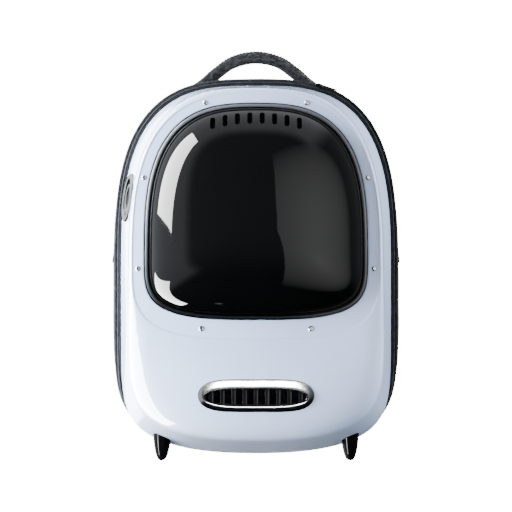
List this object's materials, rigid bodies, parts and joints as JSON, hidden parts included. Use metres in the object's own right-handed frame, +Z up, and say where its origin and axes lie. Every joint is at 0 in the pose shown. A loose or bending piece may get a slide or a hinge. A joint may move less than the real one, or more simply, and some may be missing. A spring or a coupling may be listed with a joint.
{
  "type": "bubble pet carrier backpack",
  "caption": "Backpack for carrying a small pet, with a glossy white moulded front shell, a smoked bubble window, a chin grille, fabric sides, a carry handle and short feet.",
  "frame": {"origin": "on the floor, under the middle of the whole carrier's bounding box", "axes": "+Z up from the feet to the handle, -Y the way the bubble window faces, +Y the wearer's back, +X to the right of someone who looks at the window"},
  "size_m": [0.3288, 0.2952, 0.464],
  "materials": {
    "shell_gloss": "high-gloss white moulding with a cool blue cast",
    "smoked_clear": "smoked clear bubble, nearly black, high gloss",
    "trim_grey": "grey satin-gloss trim ring",
    "bright_chrome": "bright polished chrome",
    "black_gloss": "glossy black plastic",
    "black_matte": "matte black plastic",
    "body_fabric": "dark grey melange weave",
    "side_mesh_fabric": "open black and grey mesh",
    "tape_fabric": "dark woven zip tape",
    "binding_fabric": "mid grey binding",
    "padded_fabric": "padded dark grey melange weave with stitching",
    "back_mesh_fabric": "padded black spacer mesh",
    "webbing_fabric": "dark ribbed webbing"
  },
  "bodies": {
    "root": {"front_shell": "shell_gloss", "bubble_window": "smoked_clear", "window_trim": "trim_grey", "grille_bezel": "bright_chrome", "grille_insert": "black_gloss", "side_vent_ring": "bright_chrome", "side_vent_disc": "black_gloss", "zipper_tape": "tape_fabric", "zipper_coil": "binding_fabric", "zipper_slider": "black_gloss", "body_piping": "binding_fabric", "fabric_body": "body_fabric", "carry_handle": "padded_fabric", "back_panel": "back_mesh_fabric", "screw_1": "bright_chrome", "screw_2": "bright_chrome", "screw_3": "bright_chrome", "screw_4": "bright_chrome", "screw_5": "bright_chrome", "screw_6": "bright_chrome", "screw_7": "bright_chrome", "screw_8": "bright_chrome", "mesh_panel_left": "side_mesh_fabric", "shoulder_strap_left": "padded_fabric", "strap_adjuster_left": "black_matte", "lower_webbing_left": "webbing_fabric", "front_foot_left": "black_gloss", "rear_foot_left": "black_gloss", "mesh_panel_right": "side_mesh_fabric", "shoulder_strap_right": "padded_fabric", "strap_adjuster_right": "black_matte", "lower_webbing_right": "webbing_fabric", "front_foot_right": "black_gloss", "rear_foot_right": "black_gloss"}
  },
  "joints": []
}
